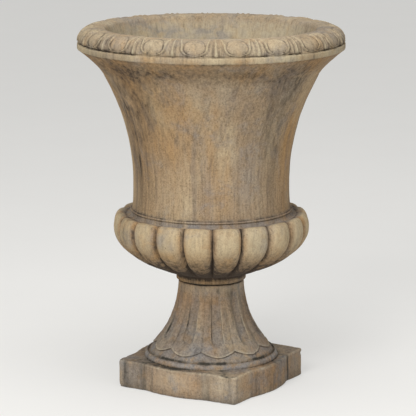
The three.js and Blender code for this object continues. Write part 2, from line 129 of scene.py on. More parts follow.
# Bowl: quarter-round with eggs and darts. Relief heights are shares of EGG_DEPTH
OVOLO_ROWS = 20
OVOLO_R = 269.2
OVOLO_CENTRE_R = 238
OVOLO_CENTRE_Z = 706.5
OVOLO_FOOT_Z = 704
OVOLO_CREST_Z = 734.6
EGG_TURN = math.radians(-2.9)
EGG_DEPTH = 3.9
EGG_HALF_PITCH = 41.5
EGG_MIDDLE = 22
EGG_HALF = 20
EGG_LOW_HALF = 14.5
EGG_HIGH_HALF = 28
EGG_POWER = 7
EGG_HEIGHT = 0.85
SHELL_REACH = 24.5
SHELL_SQUASH = 1.4
SHELL_OPENING = 5
SHELL_OPENS_OVER = (4, 30)
SHELL_WIDTH = 2.0
SHELL_HEIGHT = 0.98
INSIDE_SHELL_HEIGHT = 0.45
OUTSIDE_SHELL_HEIGHT = 0.22
DART_WIDTH = 2.4
DART_FOOT_WIDTH = 2.6
DART_FOOT_OVER = (3, 22)
RIB_OFF_DART = 9.4
RIB_WIDTH = 1.7
RIB_HEIGHT = 0.7

# Bowl: mouth, throat, well, floor and drain
LIP_R = 212
THROAT_R = 186
THROAT_Z = 640
THROAT_POWER = 1.9
THROAT_ROWS = 11
WELL_R = 126
WELL_Z = 420
WELL_FOOT_R = 112
WELL_FOOT_Z = 296
WELL_FOOT_ROWS = 7
FLOOR_R = 84
FLOOR_Z = 262
FLANGE_HOLE_R = 27.3
FLANGE_SEAT_Z = 258.7
DRAIN_R = 17.3

# Pedestal, in millimetres: stem, lobes and flutes. Flute widths are shares of half a lobe
STEM_TOP_Z = 214.5
STEM_NECK_R = 67
STEM_FOOT_R = 129
STEM_FOOT_Z = 71
STEM_EARLY_FLARE = 0.85
STEM_LATE_FLARE = 0.15
LOBE_FOOT_Z = 74.5
LOBE_COUNT = 10
LOBE_TURN = math.radians(2.6)
LOBE_ROWS = 44
LOBE_ROW_POWER = 1.1
APRON_DEPTH = 4.4
APRON_ROWS = 7
STEP_DEPTH = 4.2
SCALLOP_RISE = 10
SCALLOP_POWER = 1.7
SCALLOP_FADE_POWER = 1.3
FLUTE_HALF = 0.42
FLUTE_DEPTH = 0.078
FLUTE_FOOT_Z = 98
FLUTE_FOOT_ROUND = 12
FLUTE_TOP_Z = 210
FLUTE_TOP_ROUND = 14
FLUTE_SHALLOW_BY = 0.45
FLUTE_SHALLOW_OVER = (140, 205)
VALLEY_DEPTH = 0.020
VALLEY_CREASE = 0.010
LOBE_END_ROUND = 0.014

# Pedestal: ring, plinth and core
RING_FOOT_R = 137
RING_TOP_R = 133.5
RING_HEIGHT = 11.5
PLINTH_HALF = 139
PLINTH_HEIGHT = 56
PLINTH_CORNER_R = 7
PLINTH_BLEND = 0.9
PLINTH_FOOT_ROUND = 3
PLINTH_TOP_INSET = 1
CORNER_HALF_TURN = 0.042
BOW_HALF_WIDTH = 71
BOW_RISE = 12
BOW_R = PLINTH_HALF + BOW_RISE
BROW_ROUND = 2.8
CHIP_IN = 2.2
CHIP_DOWN = 1.6
KNOCK_IN = 3.0
CORE_FOOT_R = 92
CORE_TOP_R = 31
CORE_SHOULDER_Z = 156.5
CORE_TOP_Z = 172

# Weathering of the surfaces, in metres
LUMP_SIZE = 0.045
LUMP_HEIGHT = 1.5 * MM
POCK_SIZE = 0.012
BOWL_POCKS = 0.7 * MM
PEDESTAL_POCKS = 1.2 * MM

# Heights in millimetres between which dirt, wear or ochre comes or goes, and with them painted
# shade and painted highlight
# UNDER_BELLY: painted shade, darker downwards under the belly
UNDER_BELLY = (240, 312)
# BELLY_FACE: where the crests are worn and also carry a painted highlight
BELLY_FACE = (270, 322)
BELL_FOOT = (369, 385)
# UNDER_RIM: painted brown shade in the cove under the rim
UNDER_RIM = (640, 672)
INSIDE_DEPTH = (262, 560)
INSIDE_MOUTH = (520, 660)
PLINTH_SPLASH = (3, 22)
FLUTE_EDGES_FADE = (130, 190)

# Stains by kind: turn from the camera in degrees, height in mm, half turn, half height, strength.
# A strength below 0 takes some of that kind away
BOWL_PATCHES = {
    "dirt_and_shade": (
        (-50, 312, 34, 44, 0.16), (14.5, 693, 1.6, 4, 0.25), (-56, 694, 5, 5, 0.25),
        (2, 690.5, 9, 1.6, 0.35), (-50, 600, 26, 90, 0.46), (40, 540, 24, 120, 0.1),
        (-61, 470, 1.6, 110, 0.35), (-52, 460, 1.2, 90, 0.25), (-20, 662, 12, 9, 0.25),
        (12, 664, 14, 8, 0.25), (-18, 668, 34, 14, 0.21), (32, 655, 24, 24, 0.28),
        (48, 510, 4.5, 150, 0.34), (-66, 480, 9, 190, 0.4), (-50, 560, 3, 150, 0.22),
        (-41, 640, 4, 60, 0.25), (40, 560, 3, 120, 0.24), (85, 500, 4, 150, 0.5),
        (36, 600, 3, 90, 0.2), (112, 600, 14, 70, 0.3), (-80, 722, 32, 30, 0.26),
        (80, 722, 36, 30, 0.31), (46, 695, 3, 6, 0.4), (-25, 722, 6, 14, 0.14),
        (-2, 648, 44, 10, 0.14), (-52, 655, 12, 16, 0.12), (52, 632, 11, 38, 0.4),
        (4, 615, 6, 16, 0.08), (-40, 662, 13, 12, 0.16), (-32, 648, 6, 12, 0.16),
        (-4, 716, 40, 24, 0.11), (180, 733, 55, 14, 0.22), (-50, 440, 18, 70, 0.15),
    ),
    "bloom": (
        (-33, 325, 5, 14, 0.45), (-24, 318, 3, 12, 0.3), (32, 312, 4, 16, 0.35),
        (-46, 696, 4, 5, 0.45), (-20, 696, 3, 5, 0.35), (26, 696, 4, 5, 0.45),
        (27, 450, 10, 70, 0.5), (-3, 420, 4, 50, 0.35), (6, 620, 22, 30, 0.22),
        (44, 630, 10, 40, 0.4), (202, 698, 9, 13, 0.6), (-120, 480, 14, 90, 0.5),
        (-45, 720, 8, 14, 0.35),
    ),
    "worn_and_highlight": (
        (12, 695, 6, 7, -0.35), (-27, 695, 6, 7, -0.35), (40, 695, 5, 7, -0.3),
        (-82, 530, 6, 130, 0.5), (-36, 600, 7, 34, 0.34), (-30, 560, 7, 30, 0.3),
        (-10, 596, 6, 40, 0.28),
    ),
    "ochre_and_warm_shade": (
        (-38, 610, 10, 50, 0.55), (-54, 550, 24, 170, 0.72), (-14, 590, 9, 40, 0.25),
        (60, 540, 7, 130, 1.0), (74, 500, 9, 160, 0.5), (10, 420, 6, 30, 0.3),
        (150, 520, 22, 80, 0.55), (-66, 694, 10, 8, 0.5), (-46, 312, 44, 40, 0.75),
        (12, 695, 6, 7, 0.6), (-27, 695, 6, 7, 0.6), (-8, 693, 4, 5, 0.4),
        (40, 695, 5, 6, 0.5), (-81, 530, 7, 130, 0.8),
    ),
}
PEDESTAL_PATCHES = {
    "dirt_and_shade": (
        (-66, 28, 9, 40, 0.22), (-72, 30, 1.6, 40, 0.4), (60, 28, 26, 34, 0.33),
        (-36, 56.5, 24, 2.2, 0.85), (-42, 68.6, 16, 1.9, 0.95), (-6, 68.3, 6, 2.1, 1.25),
        (9, 68.3, 7, 1.9, 1.25), (52, 68.8, 12, 2.2, 0.85), (150, 69, 26, 3.4, 0.7),
        (45, 62, 10, 6, 0.14), (0, 110, 300, 50, 0.11), (12, 203, 4, 5, 0.5),
        (30, 196, 5, 12, 0.35), (34, 170, 3, 26, 0.35), (-1, 170, 2, 26, 0.25),
        (-60, 28, 1.6, 40, 0.35), (-51, 26, 1.0, 26, 0.45), (-6.8, 34, 0.7, 22, 0.35),
        (-2.3, 24, 0.9, 24, 0.3), (9, 55, 3, 1.4, 0.7), (36, 28, 1.5, 30, 0.25),
        (66, 56, 14, 3, 0.3), (86, 34, 1.5, 26, 0.75), (94, 28, 9, 40, 0.2),
        (120, 20, 6, 24, 0.3), (-140, 26, 5, 30, 0.35), (-104, 26, 3, 30, 0.3),
        (205, 26, 2, 30, 0.3), (-64, 190, 12, 28, 0.18), (39, 197, 4, 12, 0.2),
        (1, 46, 4, 10, 0.14),
    ),
    "bloom": (
        (0, 100, 300, 40, 0.28), (-66, 28, 10, 34, 0.5), (9, 10, 7, 10, 0.6),
        (84, 14, 4, 14, 0.6), (95, 40, 8, 20, 0.4), (172, 24, 20, 30, 0.6),
    ),
    "worn_and_highlight": (
        (0, 206, 300, 14, 0.32), (-32, 34, 20, 26, 0.38), (4, 34, 8, 26, 0.45),
        (115, 30, 20, 24, 0.35), (56, 182, 7, 22, 0.3), (-4, 30, 3, 30, 0.2),
    ),
    "ochre_and_warm_shade": (
        (0, 200, 300, 50, 0.6), (60, 34, 20, 26, 0.55), (24, 34, 6, 26, 0.6),
        (-8, 36, 9, 26, 0.4), (-120, 34, 14, 26, 0.45), (62, 30, 30, 34, 0.85),
        (-30, 34, 24, 36, 0.65), (-40, 190, 16, 30, 0.35), (3, 62, 6, 3, 0.5),
        (20, 62, 5, 3, 0.4),
    ),
}
# Where the groove under the rim is still open and dirty: turn from the camera, half turn, share
RIM_GROOVE_OPEN = (
    (-78, 20, 1.0), (-52, 7, 0.9), (-38, 6, 0.9), (-16, 6, 0.45), (4, 3, 0.3), (15.4, 3, 1.0),
    (22, 2, 1.0), (34.7, 1.5, 1.0), (38.5, 1.5, 0.9), (57, 7, 0.8), (78, 12, 0.9), (120, 9, 0.6),
    (150, 14, 0.8), (-125, 16, 0.7), (-160, 6, 0.5),
)


def deselect():
    if bpy.context.object and bpy.context.object.mode != "OBJECT":
        bpy.ops.object.mode_set(mode="OBJECT")
    bpy.ops.object.select_all(action="DESELECT")


def make_active(piece):
    deselect()
    piece.select_set(True)
    bpy.context.view_layer.objects.active = piece


def edit_all(piece):
    make_active(piece)
    bpy.ops.object.mode_set(mode="EDIT")
    bpy.ops.mesh.select_all(action="SELECT")


def dress(piece, material):
    piece.data.materials.clear()
    piece.data.materials.append(material)


# ---- Forms turned about the urn's axis ----


def draw_section(name, section):
    """Draws a half section in the XZ plane, one extruded point after another."""
    deselect()
    points = [Vector((r * MM, 0, z * MM)) for r, z, *_ in section]
    bpy.ops.mesh.primitive_plane_add(size=MM, location=points[0])
    wire = bpy.context.object
    wire.name = name
    wire.data.name = name
    bpy.ops.object.transform_apply(location=True, rotation=True, scale=True)
    bpy.ops.object.mode_set(mode="EDIT")
    bpy.ops.mesh.merge(type="CENTER")
    for here, there in zip(points, points[1:]):
        bpy.ops.mesh.extrude_vertices_move(TRANSFORM_OT_translate={"value": there - here})
    return wire


def close_section(wire):
    bpy.ops.object.mode_set(mode="OBJECT")
    ends = (0, len(wire.data.vertices) - 1)
    for vertex in wire.data.vertices:
        vertex.select = vertex.index in ends
    bpy.ops.object.mode_set(mode="EDIT")
    bpy.ops.mesh.edge_face_add()


def turn_section(wire, columns):
    """Spins the section over one slice, copies the slice round the axis and closes the seams."""
    slice_turn = FULL_TURN / SLICES
    about = {"center": (0, 0, 0), "axis": (0, 0, 1)}
    bpy.ops.mesh.select_all(action="SELECT")
    bpy.ops.mesh.spin(steps=columns // SLICES, angle=slice_turn, **about)
    bpy.ops.mesh.select_all(action="SELECT")
    bpy.ops.mesh.spin(steps=SLICES - 1, angle=FULL_TURN - slice_turn, dupli=True, **about)
    bpy.ops.mesh.select_all(action="SELECT")
    bpy.ops.mesh.remove_doubles(threshold=SEAM_GAP)
    bpy.ops.object.mode_set(mode="OBJECT")
    return wire


def point_outwards(piece):
    edit_all(piece)
    bpy.ops.mesh.normals_make_consistent(inside=False)
    bpy.ops.object.mode_set(mode="OBJECT")


def places_of(piece):
    places = np.empty(len(piece.data.vertices) * 3)
    piece.data.vertices.foreach_get("co", places)
    return places.reshape(-1, 3)


def set_places(piece, places):
    piece.data.vertices.foreach_set("co", places.astype(np.float32).ravel())
    piece.data.update()


def rows_and_angles(piece, section, turn=0.0):
    """Which point of the section each vertex was spun from, and its angle moved on by turn."""
    places = places_of(piece) / MM
    radius = np.hypot(places[:, 0], places[:, 1])
    angle = np.arctan2(places[:, 1], places[:, 0]) + turn
    points = np.array([point[:2] for point in section], float)
    gap = np.hypot(radius[:, None] - points[:, 0], places[:, 2, None] - points[:, 1])
    return gap.argmin(1), angle


def join_sections(parts):
    """One list of points from several, and the first row of each and of what follows it."""
    section, spans = [], {}
    for name, points in parts.items():
        spans[name] = (len(section), len(section) + len(points))
        section += points
    return section, spans


def at_row(rows, span):
    return (rows >= span[0]) & (rows < span[1])


def across_form(angle, count, turn):
    """-1 to 1 across each repeat of a form, 0 at its middle."""
    pitch = FULL_TURN / count
    return 2 * (((angle - turn) / pitch) % 1.0) - 1


def off_camera(angle, turn):
    """How far an angle is from a turn that is given from the camera's direction, -pi to pi."""
    return (angle - CAMERA_AROUND - math.radians(turn) + math.pi) % FULL_TURN - math.pi


def normals_along(points):
    """Unit normals to the right of the way the points run, which is out of the stone."""
    along = np.gradient(points, axis=0)
    normal = np.stack([along[:, 1], -along[:, 0]], 1)
    return normal / np.maximum(np.linalg.norm(normal, axis=1, keepdims=True), 1e-9)


def lengths_along(points):
    """How far along the line each point is from its first one."""
    steps = np.hypot(*np.diff(points, axis=0).T)
    return np.concatenate([[0], np.cumsum(steps)])


def smooth_step(low, high, value):
    share = np.clip((value - low) / (high - low), 0, 1)
    return share * share * (3 - 2 * share)


def ridge(value, middle, half_width):
    return np.exp(-(((value - middle) / half_width) ** 2))


def blank_marks(dirt_and_shade, bloom):
    """How dirty, bloomed, worn and ochre-stained each point is; dirt also carries painted shade,
    worn a painted highlight and ochre a painted warm shade.
    """
    return {"dirt_and_shade": dirt_and_shade, "bloom": bloom, "worn_and_highlight": 0 * dirt_and_shade, "ochre_and_warm_shade": 0 * dirt_and_shade}


def paint_patches(patches, angle, height, marks):
    """Adds soft stains, each at a turn from the camera's direction and a height."""
    for mark, stains in patches.items():
        for turn, level, half_turn, half_height, strength in stains:
            sideways = off_camera(angle, turn) / math.radians(half_turn)
            upwards = (height - level) / half_height
            marks[mark] += strength * np.exp(-(sideways**2 + upwards**2))


def finish_round(piece, angle, radius, height, marks, patches):
    """Moves the points to their places and writes the marks that the stone's finish reads."""
    set_places(piece, MM * np.stack([radius * np.cos(angle), radius * np.sin(angle), height], 1))
    paint_patches(patches, angle, height, marks)
    for name, values in marks.items():
        layer = piece.data.attributes.new(name, "FLOAT", "POINT")
        layer.data.foreach_set("value", np.clip(values, 0, 1).astype(np.float32))


# ---- Bowl: each section point is (radius, height, dirt and painted shade, bloom) ----


def collar_section():
    foot = BOWL_FOOT_Z
    under = [(DRAIN_R, foot), (35, foot), (55, foot), (68, foot), (70.2, foot + 0.5)]
    # Painted shadow: the collar's upper face and top are dark for the shade under the belly; its
    # lower face holds a little dirt.
    side = [(COLLAR_R, foot + up, dirt_and_shade, 0) for up, dirt_and_shade in ((1.6, 0.35), (5, 0.18), (8, 0.75))]
    top = [(COLLAR_R + 0.2, foot + 12, 1, 0), (COLLAR_R + 0.9, foot + 14.2, 1, 0)]
    return [(r, z, 0.3, 0.1) for r, z in under] + side + top


def belly_radius(z):
    drop = np.clip((BELLY_Z - z) / (BELLY_Z - COLLAR_TOP_Z), 0, 1)
    swell = (1 - drop**BELLY_DROP_POWER) ** BELLY_SWELL_POWER
    return COLLAR_R + COLLAR_STEP + (BELLY_R - COLLAR_R - COLLAR_STEP) * swell


def belly_section():
    """Crest line of the gadroons: under the belly, round the shoulder and in to the recess."""
    points = []
    for sweep in np.linspace(BELLY_UNDER_START, QUARTER_TURN, BELLY_UNDER_ROWS):
        z = BELLY_Z - (BELLY_Z - COLLAR_TOP_Z) * math.cos(sweep)
        # Painted shade: the underside of the belly darkens downwards through UNDER_BELLY, for the
        # shadow under it.
        points.append((float(belly_radius(z)), z, 1 - smooth_step(*UNDER_BELLY, z), 0))
    for sweep in np.linspace(BELLY_SHOULDER_START, QUARTER_TURN, BELLY_SHOULDER_ROWS):
        r = BELLY_SHOULDER_R + (BELLY_R - BELLY_SHOULDER_R) * math.cos(sweep)
        points.append((r, BELLY_Z + (BELLY_TOP_Z - BELLY_Z) * math.sin(sweep), 0, 0))
    inner_end = ((184, 355.7), (180, 355.3), (176.5, 354.4), (173.6, 352.9))
    return points + [(r, z, 0.1, 0.35) for r, z in inner_end]


def groove_line(crest):
    """Bottom line of the grooves between the gadroons, row for row under their crest line."""
    depth = GROOVE_SHARE * crest[:, 0] * smooth_step(COLLAR_R, GROOVE_FULL_R, crest[:, 0])
    line = crest - normals_along(crest) * depth[:, None]
    first = BELLY_UNDER_ROWS
    outer_r = line[first - 1, 0]
    shoulder = np.linspace(0, 1, len(crest) - first + 1)[1:]
    line[first:, 0] = outer_r - (outer_r - crest[-1, 0]) * shoulder**GROOVE_IN_POWER
    rise = np.minimum(1, GROOVE_RISE_RATE * shoulder) ** GROOVE_RISE_POWER
    line[first:, 1] = BELLY_Z + (RECESS_Z - BELLY_Z) * rise
    return line


def recess_section():
    """The recess behind the gadroons' ends, the bead and the turn into the bell."""
    recess = ((171.5, 352.2), (169, 352.0), (166.3, 353.2), (164.6, 356), (163.6, 358.8))
    bead = ((164.0, 361.0), (164.6, 362.3), (164.4, 363.7))
    over = ((163.2, 364.7, 0.5), (161.8, 365.2, 0.8), (161.1, 366.6, 0.35))
    points = [(r, z, 0.15, 0.75) for r, z in recess] + [(163.0, 360.2, 0.8, 0.4)]
    points += [(r, z, 0.05, 0.35) for r, z in bead]
    return points + [(r, z, dirt_and_shade, 0.3) for r, z, dirt_and_shade in over]


def bell_radius(z):
    above = z > BELL_WAIST_Z
    span = BELL_TOP_Z - BELL_WAIST_Z if above else BELL_WAIST_Z - BEAD_Z
    swell = BELL_TOP_R - BELL_WAIST_R if above else BEAD_NECK_R - BELL_WAIST_R
    return BELL_WAIST_R + swell * (abs(z - BELL_WAIST_Z) / span) ** BELL_POWER


def bell_section():
    bell = []
    for z in np.linspace(BELL_FOOT_Z, BELL_TOP_Z, BELL_ROWS):
        bell.append((bell_radius(z), z, 0.10 * (1 - smooth_step(*BELL_FOOT, z)), 0))
    cove = []
    for share in np.linspace(COVE_START, 1, COVE_ROWS):
        r = BELL_TOP_R + (COVE_TOP_R - BELL_TOP_R) * share**COVE_POWER
        z = BELL_TOP_Z + (COVE_TOP_Z - BELL_TOP_Z) * share
        # Painted shade: a dark band in the cove under the fillet, for the shade under the rim.
        dirt_and_shade = 0.18 * ridge(share, 0.76, 0.30) + 0.15 * ridge(share, 0.99, 0.05)
        cove.append((r, z, dirt_and_shade, 0))
    return bell + cove


def fillet_section():
    under = [(COVE_TOP_R + 0.6, 690, 0.3, 0), (FILLET_R - 0.7, 690.6, 0, 0)]
    side = [(FILLET_R, z, 0, 0) for z in (692, 695.5, 699)]
    top = [(FILLET_R - 0.4, 701, 0, 0), (FILLET_R - 1.6, 702, 0.2, 0)]
    groove = [(RIM_GROOVE_R + 1.2, 702.8, 0.7, 0), (RIM_GROOVE_R, RIM_GROOVE_Z, 1, 0)]
    return under + side + top + groove


def groove_fill(angle):
    """0 where the groove under the rim is open, 1 where the cast has nearly closed it."""
    gap = 0
    for turn, half_turn, share in RIM_GROOVE_OPEN:
        gap = gap + share * ridge(off_camera(angle, turn), 0, math.radians(half_turn))
    return 1 - np.minimum(gap, 1)


def rim_section():
    """Quarter-round that carries the eggs and darts, up over its crest to the bowl's mouth."""
    groove = [(RIM_GROOVE_R, RIM_GROOVE_Z, 1, 0), (RIM_GROOVE_R + 0.9, 704.8, 0.9, 0)]
    arc = [(OVOLO_R - 3, OVOLO_FOOT_Z, 0, 0), (OVOLO_R - 0.7, OVOLO_FOOT_Z + 0.9, 0, 0)]
    for sweep in np.linspace(0, QUARTER_TURN, OVOLO_ROWS - 2):
        r = OVOLO_CENTRE_R + (OVOLO_R - OVOLO_CENTRE_R) * math.cos(sweep)
        z = OVOLO_CENTRE_Z + (OVOLO_CREST_Z - OVOLO_CENTRE_Z) * math.sin(sweep)
        arc.append((r, z, 0, 0))
    flat = [(234, 734.5), (230, 734.3), (226, 733.9), (222, 733.3), (218, 732.4), (214.6, 731.0)]
    lip = [(LIP_R, 728.6), (210.2, 724.5), (207.5, 718)]
    return groove + arc + [(r, z, 0.05, 0.1) for r, z in flat + lip]


def inside_section():
    """The bowl's inside, from under its lip down to the drain."""
    wall = [(207.5, 718), (202.5, 700), (197.5, 682), (192, 661)]
    for down in np.linspace(0, 1, THROAT_ROWS):
        r = WELL_R + (THROAT_R - WELL_R) * (1 - down) ** THROAT_POWER
        wall.append((r, THROAT_Z + (WELL_Z - THROAT_Z) * down))
    wall += [(122, 380), (118, 338)]
    foot = []
    for sweep in np.linspace(0, QUARTER_TURN, WELL_FOOT_ROWS):
        r = FLOOR_R + (WELL_FOOT_R - FLOOR_R) * math.cos(sweep)
        foot.append((r, WELL_FOOT_Z + (FLOOR_Z - WELL_FOOT_Z) * math.sin(sweep)))
    floor = [(r, FLOOR_Z) for r in (60, 40, FLANGE_HOLE_R)]
    seat = [(r, FLANGE_SEAT_Z) for r in (FLANGE_HOLE_R, 22, DRAIN_R)]
    soiled = []
    for r, z in wall + foot + floor:
        soiled.append((r, z, 0.1 + 0.35 * (1 - smooth_step(*INSIDE_DEPTH, z)), 0.25))
    return soiled + [(r, z, 0.5, 0) for r, z in seat + [(DRAIN_R, 240)]]


def shape_belly(crest, row, angle):
    """Places of the belly's points, their rise over the grooves, and where on a gadroon they are.

    end goes from 0 to 1 over a gadroon's inner end, and to_groove is the way to a groove in mm.
    """
    groove = groove_line(crest)
    to_end = lengths_along(crest)
    end = np.clip(1 - (to_end[-1] - to_end) / GADROON_END, 0, 1)[row]
    side = np.abs(across_form(angle, GADROON_COUNT, GADROON_TURN))
    rise = np.clip(1 - side**GADROON_SIDE_POWER - end**GADROON_END_POWER, 0, None) ** 0.5
    place = groove[row] + (crest[row] - groove[row]) * rise[:, None]
    to_groove = (1 - side) * math.pi * crest[row, 0] / GADROON_COUNT
    return place, rise, end, to_groove


def stain_belly(marks, here, level, angle, rise, end, to_groove):
    """Dirt in the grooves and at the gadroons' ends, bloom beside it, and worn crests, with painted
    shade beside the grooves and a painted highlight on the crests.
    """
    beside = np.exp(-to_groove / 6)
    uneven = 0.5 + 0.5 * np.sin(level / 5.3 + 17 * angle) * np.sin(level / 2.9 + 5 * angle)
    # The narrow line is dirt in the grooves; the wide soft darkening beside it is painted shade on
    # the lobes' rounded sides.
    marks["dirt_and_shade"][here] += 0.95 * ridge(to_groove, 0, 1.4 + 2.4 * uneven) + 0.10 * beside
    marks["dirt_and_shade"][here] += 0.55 * smooth_step(0.7, 1, end)
    marks["bloom"][here] += 0.25 * beside + 0.5 * smooth_step(0.3, 1, end)
    # Pale crests on the belly's upper face only: wear, and a painted highlight where the light
    # falls.
    marks["worn_and_highlight"][here] = 0.66 * smooth_step(0.6, 0.97, rise) * smooth_step(*BELLY_FACE, level)
    marks["ochre_and_warm_shade"][here] = 0.42


def shape_bowl(section, spans, rows, angle):
    """Radius, height and marks of every point of the bowl's body."""
    points = np.array(section, float)
    radius, level = points[rows, 0], points[rows, 1]
    marks = blank_marks(points[rows, 2], points[rows, 3])

    first, last = spans["belly"]
    belly = at_row(rows, spans["belly"])
    crest = points[first:last, :2]
    place, *form = shape_belly(crest, rows[belly] - first, angle[belly])
    radius[belly], level[belly] = place[:, 0], place[:, 1]
    stain_belly(marks, belly, level[belly], angle[belly], *form)

    fillet = at_row(rows, spans["fillet"])
    slow, quick = np.sin(3 * angle[fillet] + 2.5), np.sin(11 * angle[fillet])
    marks["worn_and_highlight"][fillet] = 0.58 + 0.2 * slow + 0.12 * quick
    # Painted warm shade: the collar is tinted ochre so that the shade under the belly reads brown.
    marks["ochre_and_warm_shade"][at_row(rows, spans["collar"])] = 0.6
    bell = at_row(rows, spans["bell"])
    # Painted brown shade: the cove under the rim is tinted ochre.
    marks["ochre_and_warm_shade"][bell] = 0.5 * smooth_step(*UNDER_RIM, level[bell])
    inside = at_row(rows, spans["inside"])
    marks["worn_and_highlight"][inside] = 0.85 * smooth_step(*INSIDE_MOUTH, level[inside])

    groove_end = spans["fillet"][1]
    groove = at_row(rows, (groove_end - 2, groove_end))
    fill = groove_fill(angle[groove])
    radius[groove] += RIM_GROOVE_FILL * fill * (rows[groove] - groove_end + 3) / 2
    marks["dirt_and_shade"][groove] *= 0.85 * (1 - fill) + 0.12
    return radius, level, marks


def egg_and_dart(across, reach, arc):
    """Relief of eggs in open shells with darts and ribs between them.

    Returns the relief's height from 0 to 1, the distance from an egg's middle, which is 1 at its
    outline, the dark lines beside shells and darts, and how much of the relief is left near the
    quarter-round's two ends.
    """
    side = np.abs(across) * EGG_HALF_PITCH
    low = np.minimum(reach - EGG_MIDDLE, 0)
    high = np.maximum(reach - EGG_MIDDLE, 0)
    opening = SHELL_OPENING * smooth_step(*SHELL_OPENS_OVER, high)
    shell = np.hypot(np.maximum(side - opening, 0), low * SHELL_SQUASH)
    height = np.where(shell < SHELL_REACH, INSIDE_SHELL_HEIGHT, OUTSIDE_SHELL_HEIGHT)
    egg = np.hypot(side / EGG_HALF, low / EGG_LOW_HALF + high / EGG_HIGH_HALF)
    height = np.maximum(height, EGG_HEIGHT * np.clip(1 - egg**EGG_POWER, 0, None) ** 0.5)
    height = np.maximum(height, SHELL_HEIGHT * ridge(shell, SHELL_REACH, SHELL_WIDTH))
    dart = EGG_HALF_PITCH - side
    foot = 1 - smooth_step(*DART_FOOT_OVER, reach)
    height = np.maximum(height, ridge(dart, 0, DART_WIDTH + DART_FOOT_WIDTH * foot))
    height = np.maximum(height, RIB_HEIGHT * ridge(dart, RIB_OFF_DART - foot, RIB_WIDTH))
    fade = smooth_step(1, 4, reach) * (1 - smooth_step(arc - 6, arc + 12, reach))
    shell_line = 0.55 * ridge(shell, SHELL_REACH + 3.6, 1.4)
    dart_line = 0.45 * ridge(dart, 5.0 + 0.8 * foot, 1.3)
    return height, egg, (shell_line + dart_line) * fade, fade


def shape_rim(section, rows, angle):
    """Radius, height and marks of every point of the rim's quarter-round."""
    points = np.array(section, float)
    line = points[:, :2]
    outward = normals_along(line)
    along = lengths_along(line)
    reach = along[rows] - along[1]
    arc = along[OVOLO_ROWS + 1] - along[1]
    across = across_form(angle, GADROON_COUNT, EGG_TURN)
    height, egg, lines, fade = egg_and_dart(across, reach, arc)
    fade = fade * (rows > 1)
    sunk = EGG_DEPTH * (height - 1) * fade
    fill = groove_fill(angle)
    radius = line[rows, 0] + outward[rows, 0] * sunk
    radius += RIM_GROOVE_FILL * fill * np.clip(1 - rows / 2, 0, 1)
    level = line[rows, 1] + outward[rows, 1] * sunk

    on_arc = (rows > 1) & (rows <= OVOLO_ROWS + 1)
    depth = (1 - height) * fade
    in_depth = 0.14 * smooth_step(0.25, 0.85, depth)
    outlines = in_depth + 0.70 * ridge(egg, 1.05, 0.055) * fade + 0.6 * lines
    dirt_and_shade = points[rows, 2] * (0.12 + 0.75 * (1 - fill))
    dirt_and_shade = np.maximum(dirt_and_shade, outlines * (1 - 0.4 * smooth_step(12, arc, reach)))
    between = smooth_step(15, 25, np.abs(across) * EGG_HALF_PITCH)
    dirt_and_shade += 0.50 * (1 - fill) * (1 - smooth_step(5.5, 10.5, reach)) * on_arc * between
    marks = blank_marks(dirt_and_shade, points[rows, 3] + 0.15 * depth + 0.1)
    crest = np.where(egg > 1, 0.7, 0.1) * smooth_step(0.7, 0.95, height)
    marks["worn_and_highlight"] = np.where(on_arc, crest * fade + 0.30, 0.30)
    marks["ochre_and_warm_shade"] = np.where(egg < 1, 0.0, 0.05) * (0.6 + 0.4 * np.sin(3 * angle + 1)) * on_arc
    return radius, level, marks


def make_bowl():
    """Turns the body and the finer rim apart, and joins them along two open edges."""
    parts = {"inside": inside_section(), "collar": collar_section(), "belly": belly_section()}
    parts.update(recess=recess_section(), bell=bell_section(), fillet=fillet_section())
    section, spans = join_sections(parts)
    body = turn_section(draw_section("bowl_casting", section), BODY_COLUMNS)
    rows, angle = rows_and_angles(body, section, GADROON_TURN)
    finish_round(body, angle, *shape_bowl(section, spans, rows, angle), BOWL_PATCHES)

    section = rim_section()
    rim = turn_section(draw_section("rim", section), RIM_COLUMNS)
    rows, angle = rows_and_angles(rim, section, GADROON_TURN)
    finish_round(rim, angle, *shape_rim(section, rows, angle), BOWL_PATCHES)

    make_active(body)
    bpy.ops.object.mode_set(mode="EDIT")
    bpy.ops.mesh.select_all(action="DESELECT")
    bpy.ops.mesh.select_non_manifold()
    bpy.ops.mesh.subdivide(number_cuts=RIM_COLUMNS // BODY_COLUMNS - 1)
    bpy.ops.object.mode_set(mode="OBJECT")
    rim.select_set(True)
    bpy.ops.object.join()
    bpy.ops.object.mode_set(mode="EDIT")
    bpy.ops.mesh.select_all(action="SELECT")
    bpy.ops.mesh.remove_doubles(threshold=SEAM_GAP)
    bpy.ops.object.mode_set(mode="OBJECT")
    point_outwards(body)
    return body


# ---- Pedestal ----


def stem_radius(z):
    drop = np.clip((STEM_TOP_Z - z) / (STEM_TOP_Z - STEM_FOOT_Z), 0, 1)
    flare = STEM_EARLY_FLARE * drop**2 + STEM_LATE_FLARE * drop**4
    return STEM_NECK_R + (STEM_FOOT_R - STEM_NECK_R) * flare


def from_side_middle(angle):
    """Angle from the middle of the plinth's nearest side, an eighth of a turn at most."""
    return (angle + EIGHTH_TURN) % QUARTER_TURN - EIGHTH_TURN


